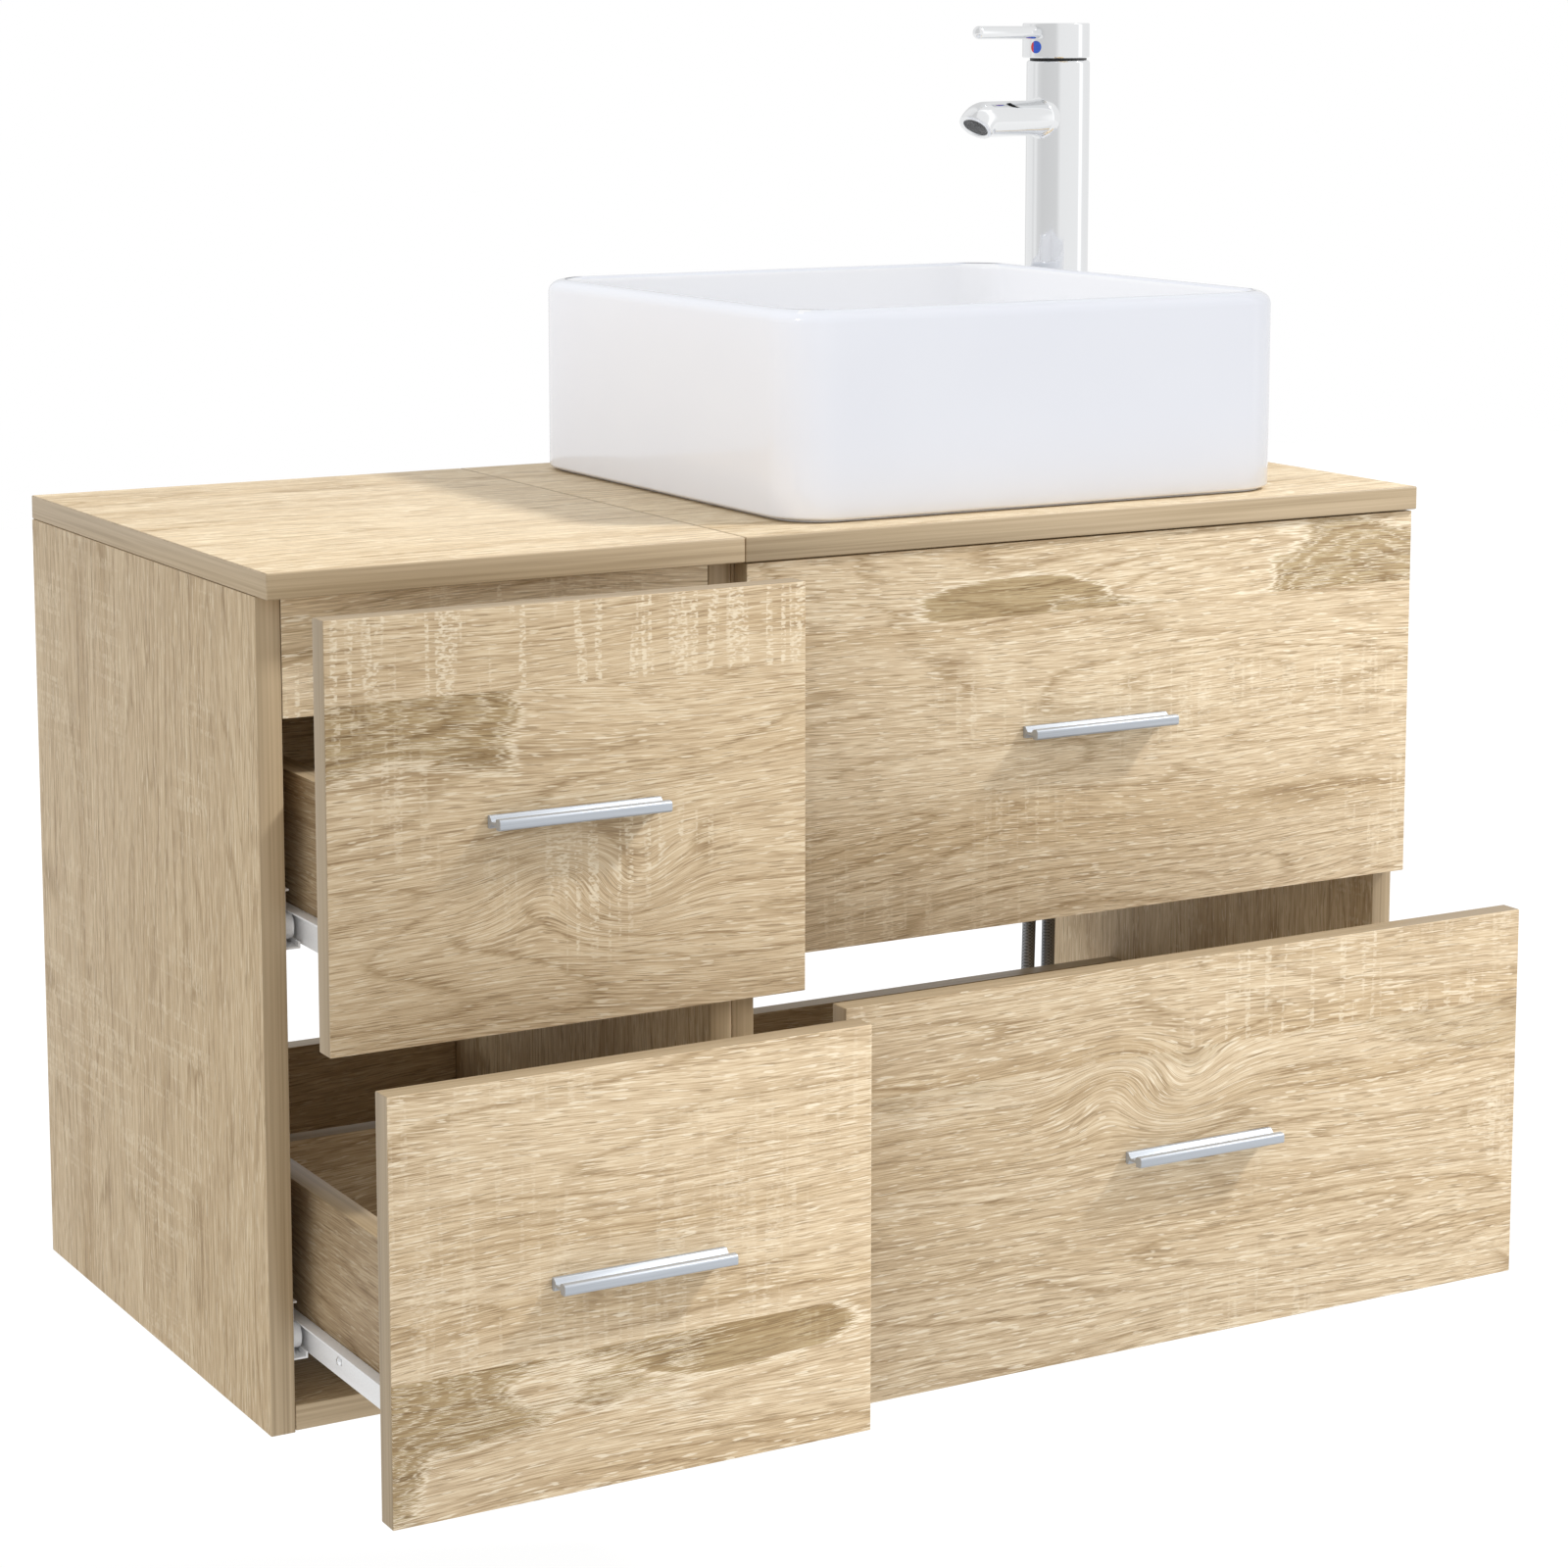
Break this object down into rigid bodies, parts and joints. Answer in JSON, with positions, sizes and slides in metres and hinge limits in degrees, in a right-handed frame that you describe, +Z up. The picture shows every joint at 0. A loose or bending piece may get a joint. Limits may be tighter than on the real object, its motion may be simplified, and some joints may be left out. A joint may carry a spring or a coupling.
{
  "type": "vessel sink vanity unit",
  "caption": "Wall-hung vanity of two oak-look cabinets with four sliding drawers, a square vessel basin, a tall single-lever mixer tap and its supply hoses.",
  "frame": {"origin": "on the wall face of the wide cabinet's hanging rail, 2.7 mm below the rail mid height and half way along the whole unit's width", "axes": "+Z up, +X to the user's right, -Y out of the wall towards the user; y = 0 is the wall"},
  "size_m": [0.8, 0.5658, 0.7986],
  "materials": {
    "oak_board": "sonoma oak foil on chipboard, matt with a brushed grain",
    "drawer_bottom": "white-coated hardboard",
    "handle_satin": "satin, slightly blue",
    "slide_white": "white epoxy coat",
    "ceramic": "gloss white glaze",
    "chrome": "polished chrome plate",
    "hose_braid": "braided stainless wire over rubber"
  },
  "bodies": {
    "cabinet": {"left_cabinet_left_side": "oak_board", "left_cabinet_right_side": "oak_board", "left_cabinet_bottom": "oak_board", "left_cabinet_hanging_rail": "oak_board", "left_cabinet_lower_rail": "oak_board", "left_countertop": "oak_board", "right_cabinet_left_side": "oak_board", "right_cabinet_right_side": "oak_board", "right_cabinet_bottom": "oak_board", "right_cabinet_hanging_rail": "oak_board", "right_cabinet_lower_rail": "oak_board", "right_countertop": "oak_board", "left_upper_drawer_left_slide_cabinet_member": "slide_white", "left_upper_drawer_right_slide_cabinet_member": "slide_white", "left_lower_drawer_left_slide_cabinet_member": "slide_white", "left_lower_drawer_right_slide_cabinet_member": "slide_white", "right_upper_drawer_left_slide_cabinet_member": "slide_white", "right_upper_drawer_right_slide_cabinet_member": "slide_white", "right_lower_drawer_left_slide_cabinet_member": "slide_white", "right_lower_drawer_right_slide_cabinet_member": "slide_white", "basin": "ceramic", "tap_body": "chrome", "hot_supply_hose": "hose_braid", "hot_hose_union_nut": "chrome", "cold_supply_hose": "hose_braid", "cold_hose_union_nut": "chrome"},
    "left_upper_drawer": {"left_upper_drawer_front": "oak_board", "left_upper_drawer_left_side": "oak_board", "left_upper_drawer_right_side": "oak_board", "left_upper_drawer_back": "oak_board", "left_upper_drawer_bottom": "drawer_bottom", "left_upper_drawer_handle": "handle_satin", "left_upper_drawer_left_slide_drawer_member": "slide_white", "left_upper_drawer_right_slide_drawer_member": "slide_white"},
    "left_lower_drawer": {"left_lower_drawer_front": "oak_board", "left_lower_drawer_left_side": "oak_board", "left_lower_drawer_right_side": "oak_board", "left_lower_drawer_back": "oak_board", "left_lower_drawer_bottom": "drawer_bottom", "left_lower_drawer_handle": "handle_satin", "left_lower_drawer_left_slide_drawer_member": "slide_white", "left_lower_drawer_right_slide_drawer_member": "slide_white"},
    "right_upper_drawer": {"right_upper_drawer_front": "oak_board", "right_upper_drawer_left_side": "oak_board", "right_upper_drawer_right_side": "oak_board", "right_upper_drawer_back": "oak_board", "right_upper_drawer_bottom": "drawer_bottom", "right_upper_drawer_handle": "handle_satin", "right_upper_drawer_left_slide_drawer_member": "slide_white", "right_upper_drawer_right_slide_drawer_member": "slide_white"},
    "right_lower_drawer": {"right_lower_drawer_front": "oak_board", "right_lower_drawer_left_side": "oak_board", "right_lower_drawer_right_side": "oak_board", "right_lower_drawer_back": "oak_board", "right_lower_drawer_bottom": "drawer_bottom", "right_lower_drawer_handle": "handle_satin", "right_lower_drawer_left_slide_drawer_member": "slide_white", "right_lower_drawer_right_slide_drawer_member": "slide_white"},
    "tap_spindle": {"tap_spindle": "chrome"},
    "tap_lever": {"tap_lever": "chrome"}
  },
  "joints": [
    {"name": "left_upper_drawer_slide", "type": "slide", "parent": "cabinet", "child": "left_upper_drawer", "axis": [0, -1, 0], "range_m": [-0.0768, 0.1132]},
    {"name": "left_lower_drawer_slide", "type": "slide", "parent": "cabinet", "child": "left_lower_drawer", "axis": [0, -1, 0], "range_m": [-0.152, 0.038]},
    {"name": "right_upper_drawer_slide", "type": "slide", "parent": "cabinet", "child": "right_upper_drawer", "axis": [0, -1, 0], "range_m": [0, 0.19]},
    {"name": "right_lower_drawer_slide", "type": "slide", "parent": "cabinet", "child": "right_lower_drawer", "axis": [0, -1, 0], "range_m": [-0.1162, 0.0738]},
    {"name": "lever_swivel", "type": "hinge", "parent": "cabinet", "child": "tap_spindle", "pos_m": [0.3484, -0.052, 0.36], "axis": [0, 0, 1], "range_deg": [-45, 45]},
    {"name": "lever_lift", "type": "hinge", "parent": "tap_spindle", "child": "tap_lever", "pos_m": [0.36437, -0.04619, 0.3691], "axis": [-0.342, 0.9397, 0], "range_deg": [0, 20]}
  ]
}
